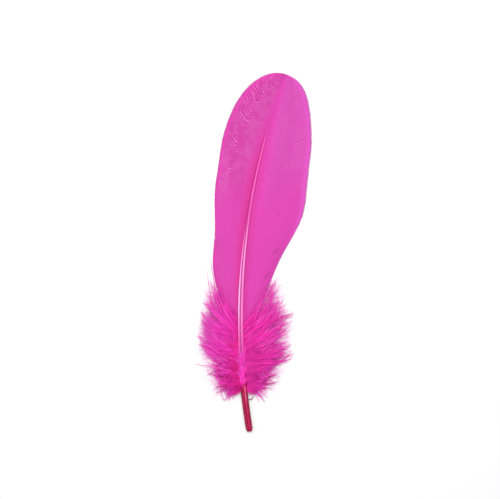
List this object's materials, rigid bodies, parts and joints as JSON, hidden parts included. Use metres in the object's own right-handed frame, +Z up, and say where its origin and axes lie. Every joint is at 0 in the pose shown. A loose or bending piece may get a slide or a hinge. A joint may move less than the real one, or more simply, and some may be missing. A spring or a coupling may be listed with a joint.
{
  "type": "goose quill feather",
  "caption": "Dyed goose feather: bare quill, grooved rachis, two flat vanes and loose down, lying on its back.",
  "frame": {"origin": "middle of the feather's footprint, on the surface that it lies on", "axes": "+Y along the feather's chord towards its tip, +Z up, out of the grooved underside of the feather, which is uppermost"},
  "size_m": [0.0472, 0.18, 0.0058],
  "materials": {
    "vane": "satin, slightly translucent dyed barbs",
    "quill": "glossy horn, deep crimson on the quill and paler pink along the rachis",
    "down": "soft loose strands"
  },
  "bodies": {
    "root": {"goose_feather": "vane"}
  },
  "joints": []
}
